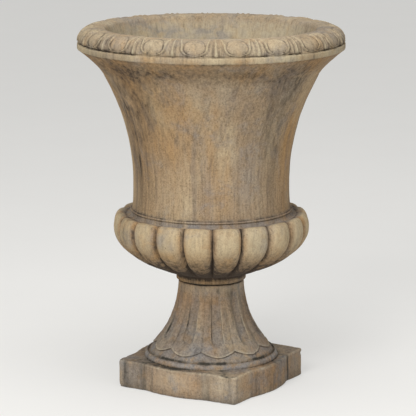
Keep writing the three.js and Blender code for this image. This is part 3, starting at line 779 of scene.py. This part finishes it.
def plinth_reach(angle):
    """Distance from the axis to the plinth's side, and how near that is to the end of a bow."""
    turned = from_side_middle(angle)
    flat = PLINTH_HALF / np.cos(turned)
    centre = PLINTH_HALF - PLINTH_CORNER_R
    toward = centre * (np.cos(turned) + np.abs(np.sin(turned)))
    inside = np.clip(toward**2 - 2 * centre**2 + PLINTH_CORNER_R**2, 0, None)
    at_corner = flat * np.abs(np.sin(turned)) > centre
    square = np.where(at_corner, np.minimum(flat, toward + np.sqrt(inside)), flat)
    curve = (BOW_HALF_WIDTH**2 + BOW_RISE**2) / (2 * BOW_RISE)
    set_back = BOW_R - curve
    bow = set_back * np.cos(turned) + np.sqrt(curve**2 - (set_back * np.sin(turned)) ** 2)
    reach = PLINTH_BLEND * np.log(np.exp((square - bow) / PLINTH_BLEND) + 1) + bow
    return reach, ridge(square - bow, 0.4, 1.6)


def plinth_corner(angle):
    """1 at the plinth's corners, 0 away from them."""
    return ridge(np.abs(from_side_middle(angle)), EIGHTH_TURN, CORNER_HALF_TURN)


def chipped(along, seed):
    """0 to 1, high where an edge has lost small pieces; along is a place on the edge in mm."""
    short, medium, long = along / 3.1, along / 7.3, along / 17.0
    wave = np.sin(medium + seed) + np.sin(short + 2.3 * seed) + np.sin(long + 4.1 * seed)
    return smooth_step(1.1, 2.4, wave)


def plinth_section():
    """The plinth's half section through a bow: underside, foot, wall, brow and top."""
    foot_inner_r = BOW_R - PLINTH_FOOT_ROUND
    under = [(r, 0.0, 0.3, 0.2) for r in np.linspace(CORE_FOOT_R, foot_inner_r, 4)]
    foot = []
    for sweep in np.linspace(0.4, QUARTER_TURN, 4):
        r = foot_inner_r + PLINTH_FOOT_ROUND * math.sin(sweep)
        foot.append((r, PLINTH_FOOT_ROUND - PLINTH_FOOT_ROUND * math.cos(sweep), 0.3, 0.3))
    wall = []
    for z in np.linspace(5.5, PLINTH_HEIGHT - 5, 15):
        wall.append((BOW_R, z, 0.25 * (1 - smooth_step(*PLINTH_SPLASH, z)), 0.15))
    brow = []
    for sweep in np.linspace(0, QUARTER_TURN - 0.15, 6):
        r = BOW_R - BROW_ROUND * (1 - math.cos(sweep))
        z = PLINTH_HEIGHT - BROW_ROUND * (1 - math.sin(sweep))
        brow.append((r, z, 0, 0.1))
    outer_r = BOW_R - BROW_ROUND - PLINTH_TOP_INSET
    top = [(r, PLINTH_HEIGHT, 0.14, 0.15) for r in np.linspace(outer_r, RING_FOOT_R + 0.8, 8)]
    return {"under": under, "foot": foot, "wall": wall, "brow": brow, "top": top}


def ring_section():
    base = PLINTH_HEIGHT
    foot = [(RING_FOOT_R - 0.4, base - 0.9, 0.45, 0.3), (RING_FOOT_R - 0.5, base + 0.9, 0.35, 0.3)]
    side = ((0, 2.4), (0.3, 4.6), (1, 7), (2.2, 9.2))
    face = [(RING_FOOT_R - inset, base + up) for inset, up in side]
    face += [(RING_TOP_R - 0.4, base + 10.6), (RING_TOP_R - 2, base + RING_HEIGHT)]
    groove = [(RING_TOP_R - 3.0, base + 10.2, 0.5, 0.2), (RING_TOP_R - 4.6, base + 7.8, 0.6, 0)]
    groove += [(RING_TOP_R - 6.4, base + 10.4, 0.5, 0.2)]
    return foot + [(r, z, 0.0, 0.80) for r, z in face] + groove


def stem_section():
    """Apron, scalloped step, lobes and head of the stem, through the middle of a lobe."""
    apron = []
    for z in np.linspace(STEM_FOOT_Z - 2, LOBE_FOOT_Z + 3, APRON_ROWS):
        apron.append((float(stem_radius(z)) - APRON_DEPTH, z, 0.1, 0.7))
    # The last apron row and the step's inner corner are dark: dirt, and painted shadow under the
    # scallop step.
    apron[-1] = (*apron[-1][:2], 0.3, 0.5)
    edge = float(stem_radius(LOBE_FOOT_Z + 4))
    step = []
    for out, dirt_and_shade in ((0.15, 0.3), (0.6, 0), (0.93, 0)):
        z = LOBE_FOOT_Z + 3.5 + 0.45 * out
        step.append((edge - STEP_DEPTH + STEP_DEPTH * out, z, dirt_and_shade, 0.1))
    lobes = []
    for up in np.linspace(0, 1, LOBE_ROWS) ** LOBE_ROW_POWER:
        z = LOBE_FOOT_Z + 4.4 + (STEM_TOP_Z - 2.2 - LOBE_FOOT_Z - 4.4) * up
        lobes.append((float(stem_radius(z)), z, 0.05, 0.1))
    head = [(STEM_NECK_R - 0.5, STEM_TOP_Z - 0.6, 0.35, 0), (STEM_NECK_R - 2, STEM_TOP_Z, 0.8, 0)]
    head += [(r, STEM_TOP_Z, 0.4, 0) for r in (50, 33)]
    return {"apron": apron, "step": step, "lobes": lobes, "head": head}


def core_section():
    drain = [(DRAIN_R, z) for z in (STEM_TOP_Z, 195, CORE_TOP_Z)]
    core = [(CORE_TOP_R * 0.75, CORE_TOP_Z), (CORE_TOP_R, CORE_SHOULDER_Z)]
    for share in (0.25, 0.5, 0.75):
        r = CORE_TOP_R + (CORE_FOOT_R - CORE_TOP_R) * share
        core.append((r, CORE_SHOULDER_Z * (1 - share)))
    return [(r, z, 0.4, 0.2) for r, z in drain + core]


def stretch_to_plinth(points, rows, spans, radius, angle):
    """Moves the plinth's rows from the bow's circle to its outline, and finds the bows' ends."""
    reach, crease = plinth_reach(angle)
    for name in ("foot", "wall", "brow"):
        here = at_row(rows, spans[name])
        radius[here] += (reach - BOW_R)[here]
    top_inset = BROW_ROUND + PLINTH_TOP_INSET
    level_rows = (("under", CORE_FOOT_R, PLINTH_FOOT_ROUND), ("top", RING_FOOT_R, top_inset))
    for name, inner, inset in level_rows:
        here = at_row(rows, spans[name])
        share = (points[rows, 0] - inner) / (BOW_R - inset - inner)
        radius[here] = (inner + (reach - inset - inner) * share)[here]
    return crease


def wear_plinth(rows, spans, radius, level, angle, marks):
    """Chips the plinth's upper edge and rounds its corners unevenly, as knocks and frost do."""
    corner = plinth_corner(angle)
    brow = at_row(rows, (spans["brow"][0], spans["top"][0] + 1))
    loss = chipped(angle * BOW_R, 1.0) * (0.5 + 0.5 * corner)
    radius[brow] -= (CHIP_IN * loss)[brow]
    level[brow] -= (CHIP_DOWN * loss)[brow]
    marks["worn_and_highlight"][brow] = (0.25 + 0.6 * loss)[brow]
    side = at_row(rows, (spans["foot"][0], spans["brow"][1]))
    knocked = corner * (0.4 + 0.6 * chipped(level * 1.7 + 9 * np.sign(angle), 2.0))
    radius[side] -= (KNOCK_IN * knocked)[side]
    marks["worn_and_highlight"][side] += (0.6 * knocked)[side]
    marks["dirt_and_shade"][side] += (0.22 * plinth_corner(angle + 0.05))[side]


def lift_scallops(points, rows, spans, radius, level, scallop):
    """Lifts the apron and the step over it to the scalloped foot of the lobes."""
    first, last = spans["apron"]
    here = at_row(rows, spans["apron"])
    level[here] += (scallop * (rows - first) / (last - 1 - first))[here]
    radius[here] = (stem_radius(level) - APRON_DEPTH)[here]
    here = at_row(rows, spans["step"])
    level[here] += scallop[here]
    inset = points[rows, 0] - stem_radius(points[rows, 1])
    radius[here] = (stem_radius(level) + inset)[here]


def flutes(height, side):
    """How far the flutes are sunk, from 0 to 1, and their half width."""
    foot = np.clip((height - FLUTE_FOOT_Z) / FLUTE_FOOT_ROUND, 0, 1)
    end = foot * np.clip((FLUTE_TOP_Z - height) / FLUTE_TOP_ROUND, 0, 1)
    half = FLUTE_HALF * np.sqrt(np.clip(1 - (1 - end) ** 2, 0, 1))
    hollow = np.clip(1 - (side / np.maximum(half, 0.01)) ** 2, 0, None) ** 0.5
    return np.where(half > 0.02, hollow, 0), half


def shape_pedestal(section, spans, rows, angle):
    """Radius, height and marks of every point of the pedestal."""
    points = np.array(section, float)
    radius, level = points[rows, 0], points[rows, 1]
    marks = blank_marks(points[rows, 2], points[rows, 3])
    crease = stretch_to_plinth(points, rows, spans, radius, angle)
    wear_plinth(rows, spans, radius, level, angle, marks)
    on_plinth = at_row(rows, (spans["foot"][0], spans["brow"][1]))
    # Darker along the creases at the ends of the bows.
    marks["dirt_and_shade"][on_plinth] += 0.26 * crease[on_plinth]

    across = across_form(angle, LOBE_COUNT, LOBE_TURN)
    slow_sway = 0.016 * np.sin(level / 6.1 + 7 * angle)
    quick_sway = 0.010 * np.sin(level / 2.3 + 11 * angle)
    side = np.abs(across + slow_sway + quick_sway)
    scallop = SCALLOP_RISE * side**SCALLOP_POWER
    lift_scallops(points, rows, spans, radius, level, scallop)

    first, last = spans["lobes"]
    here = at_row(rows, spans["lobes"])
    above = level - points[first, 1]
    up = np.clip(above / (points[last - 1, 1] - points[first, 1]), 0, 1)
    height = level + scallop * (1 - up) ** SCALLOP_FADE_POWER
    sunk, half = flutes(height, side)
    fade = np.clip((STEM_TOP_Z - height) / 18, 0, 1)
    valley = VALLEY_DEPTH * smooth_step(0.6, 1.0, side) + VALLEY_CREASE * ridge(side, 1, 0.06)
    valley = valley * fade
    round_end = LOBE_END_ROUND * (1 - smooth_step(0, 7, above))
    shallow = 1 - FLUTE_SHALLOW_BY * smooth_step(*FLUTE_SHALLOW_OVER, height)
    shape = stem_radius(height) * (1 - FLUTE_DEPTH * shallow * sunk - valley - round_end)
    radius[here], level[here] = shape[here], height[here]

    broken = 0.75 + 0.35 * np.sin(height / 9 + 5 * angle)
    sharp = (half > 0.1) * (1 - 0.75 * smooth_step(*FLUTE_EDGES_FADE, height)) * broken
    # Painted light on the flutes: both inner corners hold dirt and both arrises some wear, but the
    # left corner is made darker, as painted shade of its wall, and the right arris paler, as a
    # painted highlight.
    edge = ridge(side - half, 0.025, 0.03) * sharp
    corner = ridge(side - half, -0.03, 0.035) * sharp
    # This flag sets which side of each flute gets the painted shade and which the painted
    # highlight.
    lit_side = np.where(across > 0, 1, 0.35)
    in_valley = 0.30 * ridge(side, 1, 0.04) * fade * (1 - up)
    marks["dirt_and_shade"][here] += ((1.05 - 0.70 * lit_side) * corner + in_valley)[here]
    marks["bloom"][here] += (0.20 * smooth_step(0.1, 0.5, sunk) + 0.25 * (1 - up))[here]
    marks["worn_and_highlight"][here] += (lit_side * edge + 0.9 * (1 - smooth_step(0, 3, above)))[here]
    return radius, level, marks


def make_pedestal():
    parts = plinth_section()
    parts["ring"] = ring_section()
    parts.update(stem_section())
    parts["core"] = core_section()
    section, spans = join_sections(parts)
    wire = draw_section("pedestal_casting", section)
    close_section(wire)
    pedestal = turn_section(wire, PEDESTAL_COLUMNS)
    rows, angle = rows_and_angles(pedestal, section)
    shaped = shape_pedestal(section, spans, rows, angle)
    finish_round(pedestal, angle, *shaped, PEDESTAL_PATCHES)
    point_outwards(pedestal)
    return pedestal


# ---- Weathering of the castings' surfaces ----


def weather(piece, name, size, strength):
    """Roughens a casting with procedural clouds, as wind, rain and casting leave it."""
    texture = bpy.data.textures.new(name, "CLOUDS")
    texture.noise_scale = size
    texture.noise_depth = 2
    make_active(piece)
    change = piece.modifiers.new(name, "DISPLACE")
    change.texture = texture
    change.texture_coords = "LOCAL"
    change.strength = strength
    change.mid_level = 0.5
    bpy.ops.object.modifier_apply(modifier=change.name)


def keep_inside(piece, low, high):
    """Draws back the few points that weathering pushed past the castings' own reach."""
    places = places_of(piece)
    set_places(piece, np.clip(places, np.array(low), np.array(high)))


def finish_casting(piece, node, material, pocks):
    weather(piece, "lumps", LUMP_SIZE, LUMP_HEIGHT)
    weather(piece, "pocks", POCK_SIZE, pocks)
    low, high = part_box(node)
    keep_inside(piece, low, high)
    make_active(piece)
    bpy.ops.object.shade_smooth()
    dress(piece, material)
    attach(piece, "root")
    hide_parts(node)


# ---- Materials ----


class Wire:
    """A socket of a material, on which arithmetic adds Math nodes."""

    def __init__(self, paint, socket):
        self.paint = paint
        self.socket = socket

    def __add__(self, other):
        return self.paint.math("ADD", self, other)

    def __mul__(self, other):
        return self.paint.math("MULTIPLY", self, other)

    def __sub__(self, other):
        return self.paint.math("SUBTRACT", self, other)

    def __rsub__(self, other):
        return self.paint.math("SUBTRACT", other, self)

    __radd__ = __add__
    __rmul__ = __mul__

    def at_most(self, limit):
        return self.paint.math("MINIMUM", self, limit)

    def band(self, low, high):
        """0 below low, 1 above high, smooth between."""
        settings = {"interpolation_type": "SMOOTHSTEP"}
        sockets = {"Value": self, "From Min": low, "From Max": high}
        return self.paint.node("ShaderNodeMapRange", settings, sockets)[0]


class Paint:
    """One material, or the sky, built from expressions on its sockets."""

    def __init__(self, owner):
        self.owner = owner
        owner.use_nodes = True
        self.tree = owner.node_tree
        self.tree.nodes.clear()
        self.place = self.node("ShaderNodeTexCoord", {}, {}, "Object")

    def node(self, kind, settings, sockets, *outputs):
        """Adds a node and gives its outputs: all in a list, or those that are named."""
        made = self.tree.nodes.new(kind)
        for name, value in settings.items():
            setattr(made, name, value)
        for name, value in sockets.items():
            if isinstance(value, Wire):
                self.tree.links.new(value.socket, made.inputs[name])
            else:
                made.inputs[name].default_value = value
        if not outputs:
            return [Wire(self, socket) for socket in made.outputs]
        found = [Wire(self, made.outputs[name]) for name in outputs]
        return found[0] if len(found) == 1 else found

    def math(self, operation, first, second):
        return self.node("ShaderNodeMath", {"operation": operation}, {0: first, 1: second})[0]

    def ramp(self, value, stops):
        """Colour from a value, by stops of a position and a colour each."""
        coloured = self.node("ShaderNodeValToRGB", {}, {"Fac": value}, "Color")
        band = coloured.socket.node.color_ramp.elements
        while len(band) < len(stops):
            band.new(0.5)
        for element, (position, colour) in zip(band, stops):
            element.position = position
            element.color = (*colour, 1)
        return coloured

    def mix(self, share, first, second, blend="MIX"):
        def colour(value):
            return value if isinstance(value, Wire) else (*value, 1)

        settings = {"data_type": "RGBA", "blend_type": blend}
        sockets = {0: share, 6: colour(first), 7: colour(second)}
        return self.node("ShaderNodeMix", settings, sockets)[2]

    def noise(self, scale, detail, roughness, distortion=0.0, place=None):
        sockets = {"Vector": place or self.place, "Scale": scale, "Detail": detail}
        sockets.update({"Roughness": roughness, "Distortion": distortion})
        return self.node("ShaderNodeTexNoise", {}, sockets)[0]

    def runs(self, scales, detail, roughness, distortion=0.0, shift=(0, 0, 0)):
        """Noise with its own scale along X, Y and Z: a low last one makes upright runs."""
        sockets = {"Vector": self.place, "Scale": scales, "Location": shift}
        place = self.node("ShaderNodeMapping", {}, sockets, "Vector")
        return self.noise(1.0, detail, roughness, distortion, place)

    def attribute(self, name):
        return self.node("ShaderNodeAttribute", {"attribute_name": name}, {}, "Fac")

    def bump(self, height, strength, distance, normal=None):
        sockets = {"Height": height, "Strength": strength, "Distance": distance}
        if normal is not None:
            sockets["Normal"] = normal
        return self.node("ShaderNodeBump", {}, sockets, "Normal")

    def surface(self, **inputs):
        named = {name.replace("_", " "): value for name, value in inputs.items()}
        shader = self.node("ShaderNodeBsdfPrincipled", {}, named, "BSDF")
        self.node("ShaderNodeOutputMaterial", {}, {"Surface": shader})
        return self.owner


def new_paint(name):
    return Paint(bpy.data.materials.new(name))


def cast_stone(name, pale, tan, ochre_and_warm_shade, grey, chalk_and_highlight, soil_and_shade, bloomed, fibre, blotch):
    """Weathered cast stone: mottled body colour, upright streaks, stains, dirt and worn edges, with
    painted shade and painted highlight where the marks carry them.

    fibre is the share of upright hairs in the grain, and blotch how much the stone is clouded.
    """
    paint = new_paint(name)
    dirt_and_shade, bloom = paint.attribute("dirt_and_shade"), paint.attribute("bloom")
    worn_and_highlight, stain_and_warm_shade = paint.attribute("worn_and_highlight"), paint.attribute("ochre_and_warm_shade")
    broad = paint.runs((10, 10, 4.5), 4.0, 0.55, distortion=0.3)
    mottle = paint.noise(42.0, 5.0, 0.6, distortion=0.3)
    speck = paint.noise(330.0, 3.0, 0.7)
    grain = paint.noise(1100.0, 2.0, 0.6)
    grit = paint.noise(190.0, 3.0, 0.65)
    hair = paint.runs((260, 260, 16), 2.0, 0.6)
    streak = paint.runs((46, 46, 2.6), 4.0, 0.6)
    drip = paint.runs((19, 19, 2.0), 4.0, 0.55, shift=(3.1, 7.2, 0.4))
    run = paint.runs((120, 120, 9), 3.0, 0.6)
    haze = paint.noise(12.0, 6.0, 0.65, distortion=0.6)
    patchy = mottle.band(0.25, 0.55)

    colour = paint.mix((broad * 0.7 + mottle * 0.3).band(0.41, 0.65), tan, pale)
    # The ochre colour paints ochre stains, and also painted warm shade on the collar and in the
    # cove under the rim.
    ochre_and_shade_share = drip.band(0.50, 0.68) * 0.45 + stain_and_warm_shade * (drip.band(0.3, 0.6) * 0.5 + 0.5)
    colour = paint.mix(ochre_and_shade_share.at_most(0.9), colour, ochre_and_warm_shade)
    colour = paint.mix(streak.band(0.50, 0.68) * 0.5, colour, grey)
    # The chalk colour paints wear, and also painted highlights on the flutes' right arrises and the
    # gadroons' upper crests.
    colour = paint.mix(worn_and_highlight * (patchy * 0.5 + 0.5), colour, chalk_and_highlight)
    clouds = bloom * 0.9 + haze.band(0.50, 0.68) * blotch
    colour = paint.mix((clouds * mottle.band(0.28, 0.58)).at_most(0.95), colour, bloomed)
    # The soil colour paints dirt, and also painted shade under the belly, on the collar, in the
    # cove, in the flutes' left corners and under the scallop step.
    stain_and_shade = dirt_and_shade * (patchy * 0.40 + run.band(0.40, 0.60) * 0.45 + 0.33)
    stain_and_shade = stain_and_shade + haze.band(0.60, 0.75) * 0.12 + run.band(0.54, 0.68) * 0.16
    stain_and_shade = stain_and_shade + dirt_and_shade.band(0.80, 1.0) * 0.35
    colour = paint.mix(stain_and_shade.at_most(0.96), colour, soil_and_shade)

    flecks = [
        (0.375, (0.64, 0.62, 0.60)),
        (0.5, (1.0, 1.0, 1.0)),
        (0.625, (1.27, 1.26, 1.24)),
    ]
    grains = speck * 0.45 + hair * fibre + grit * (0.55 - fibre)
    fleck_share = (1 - worn_and_highlight * 0.55) * (1.36 - 0.8 * blotch)
    colour = paint.mix(fleck_share, colour, paint.ramp(grains, flecks), "MULTIPLY")

    cells = {"Vector": paint.place, "Scale": 110.0}
    pit = paint.node("ShaderNodeTexVoronoi", {}, cells, "Distance")
    pits = (1 - pit.band(0.04, 0.20)) * mottle.band(0.50, 0.60)
    colour = paint.mix(pits * 0.55, colour, soil_and_shade)
    normal = paint.bump(mottle, 0.35, 0.004)
    normal = paint.bump(speck, 0.55, 0.0012, normal)
    normal = paint.bump(grain - pits, 0.5, 0.0007, normal)
    rough = mottle * 0.12 + 0.84
    return paint.surface(Base_Color=colour, Roughness=rough, Normal=normal, Specular_IOR_Level=0.25)


def mortar_finish():
    paint = new_paint("bedding_mortar")
    sand = paint.noise(420.0, 4.0, 0.7)
    patch = paint.noise(45.0, 4.0, 0.6)
    stops = [(0.35, (0.030, 0.026, 0.021)), (0.6, (0.075, 0.062, 0.048))]
    colour = paint.ramp(patch * 0.6 + sand * 0.4, stops)
    normal = paint.bump(sand, 0.6, 0.0008)
    return paint.surface(Base_Color=colour, Roughness=sand * 0.1 + 0.85, Normal=normal)


def plastic_finish():
    paint = new_paint("drain_plastic")
    cloud = paint.noise(60.0, 4.0, 0.6)
    scuff = paint.runs((400, 400, 60), 3.0, 0.6)
    colour = paint.ramp(cloud, [(0.35, (0.030, 0.032, 0.033)), (0.7, (0.062, 0.060, 0.055))])
    colour = paint.mix(scuff.band(0.58, 0.7) * 0.4, colour, (0.13, 0.115, 0.09))
    normal = paint.bump(scuff, 0.2, 0.0003)
    return paint.surface(Base_Color=colour, Roughness=cloud * 0.25 + 0.35, Normal=normal)


def stainless_finish():
    paint = new_paint("stainless_rod")
    drawn = paint.runs((900, 900, 12), 3.0, 0.6)
    colour = paint.ramp(drawn, [(0.3, (0.42, 0.43, 0.44)), (0.7, (0.58, 0.59, 0.60))])
    normal = paint.bump(drawn, 0.15, 0.0002)
    rough = drawn * 0.2 + 0.25
    return paint.surface(Base_Color=colour, Metallic=1.0, Roughness=rough, Normal=normal)


# ---- Set: floor, sky, lamps and camera ----


def seen_share(paint):
    """1 where the camera, a reflection or a clear pane looks at the set, 0 where it lights."""
    rays = ("Is Camera Ray", "Is Glossy Ray", "Is Transmission Ray")
    camera, glossy, clear = paint.node("ShaderNodeLightPath", {}, {}, *rays)
    return (camera + glossy + clear).at_most(1)


def make_floor():
    deselect()
    bpy.ops.mesh.primitive_plane_add(size=FLOOR_SIZE, location=(0, 0, -FLOOR_DROP))
    floor = bpy.context.object
    floor.name = "studio_floor"
    paint = new_paint("floor_paper")
    soft = paint.noise(3.0, 2.0, 0.5)
    colour = paint.ramp(soft, [(0.3, (0.78, 0.78, 0.77)), (0.7, (0.80, 0.80, 0.79))])
    matt = {"Base Color": colour, "Roughness": 0.9}
    paper = paint.node("ShaderNodeBsdfPrincipled", {}, matt, "BSDF")
    glow = paint.node("ShaderNodeEmission", {}, {"Color": FLOOR_GLOW}, "Emission")
    parts = {0: seen_share(paint) * FLOOR_GLOW_SHARE, 1: paper, 2: glow}
    shown = paint.node("ShaderNodeMixShader", {}, parts)[0]
    paint.node("ShaderNodeOutputMaterial", {}, {"Surface": shown})
    floor.data.materials.append(paint.owner)


def make_world():
    paint = Paint(bpy.data.worlds.new("studio_sky"))
    lit = paint.node("ShaderNodeBackground", {}, SKY_LIT, "Background")
    shown = paint.node("ShaderNodeBackground", {}, SKY_SHOWN, "Background")
    sky = paint.node("ShaderNodeMixShader", {}, {0: seen_share(paint), 1: lit, 2: shown})[0]
    paint.node("ShaderNodeOutputWorld", {}, {"Surface": sky})
    bpy.context.scene.world = paint.owner


def stand(name, data, place, aim):
    """Puts a lamp or a camera at its place, looking along aim."""
    holder = bpy.data.objects.new(name, data)
    bpy.context.scene.collection.objects.link(holder)
    turned = aim.to_track_quat("-Z", "Y").to_matrix().to_4x4()
    holder.matrix_world = Matrix.Translation(place) @ turned
    return holder


def at_turn(angle, away, height):
    return Vector((away * math.cos(angle), away * math.sin(angle), height))


def add_lamp(name, around, away, height, size, power, colour):
    """A soft square lamp that faces the urn; around is measured from the camera's direction."""
    lamp = bpy.data.lights.new(name, "AREA")
    lamp.size = size
    lamp.energy = power
    lamp.color = colour
    place = at_turn(CAMERA_AROUND + math.radians(around), away, height)
    stand(name, lamp, place, LAMP_AIM - place)


def make_camera():
    camera = bpy.data.cameras.new("photo_camera")
    camera.sensor_width = SENSOR
    camera.lens = SENSOR * CAMERA_FOCAL_SHARE
    camera.clip_end = CAMERA_CLIP_END
    place = at_turn(CAMERA_AROUND, CAMERA_AWAY, CAMERA_UP)
    heading = CAMERA_AROUND + math.pi + CAMERA_YAW
    aim = at_turn(heading, math.cos(CAMERA_PITCH), -math.sin(CAMERA_PITCH))
    bpy.context.scene.camera = stand("photo_camera", camera, place, aim)


# ---- Assembly ----

make_camera()
make_world()
make_floor()
for lamp in LAMPS:
    add_lamp(*lamp)

BLOOM = (0.250, 0.236, 0.228)
bowl_stone = cast_stone(
    "bowl_stone",
    pale=(0.444, 0.354, 0.232),
    tan=(0.316, 0.231, 0.145),
    ochre_and_warm_shade=(0.385, 0.234, 0.103),
    grey=(0.190, 0.152, 0.120),
    chalk_and_highlight=(0.505, 0.432, 0.292),
    soil_and_shade=(0.046, 0.034, 0.026),
    bloomed=BLOOM,
    fibre=0.32,
    blotch=0.45,
)
pedestal_stone = cast_stone(
    "pedestal_stone",
    pale=(0.450, 0.350, 0.225),
    tan=(0.270, 0.198, 0.132),
    ochre_and_warm_shade=(0.352, 0.208, 0.098),
    grey=(0.140, 0.118, 0.096),
    chalk_and_highlight=(0.600, 0.520, 0.385),
    soil_and_shade=(0.040, 0.038, 0.032),
    bloomed=BLOOM,
    fibre=0.06,
    blotch=0.60,
)

finish_casting(make_bowl(), "bowl", bowl_stone, BOWL_POCKS)
finish_casting(make_pedestal(), "pedestal", pedestal_stone, PEDESTAL_POCKS)

dress(nodes["bedding_ring"], mortar_finish())
dress(nodes["drain_sleeve"], plastic_finish())
steel = stainless_finish()
for number in (1, 2, 3, 4):
    dress(nodes[f"dowel_{number}"], steel)

bpy.context.scene.view_settings.view_transform = "Standard"
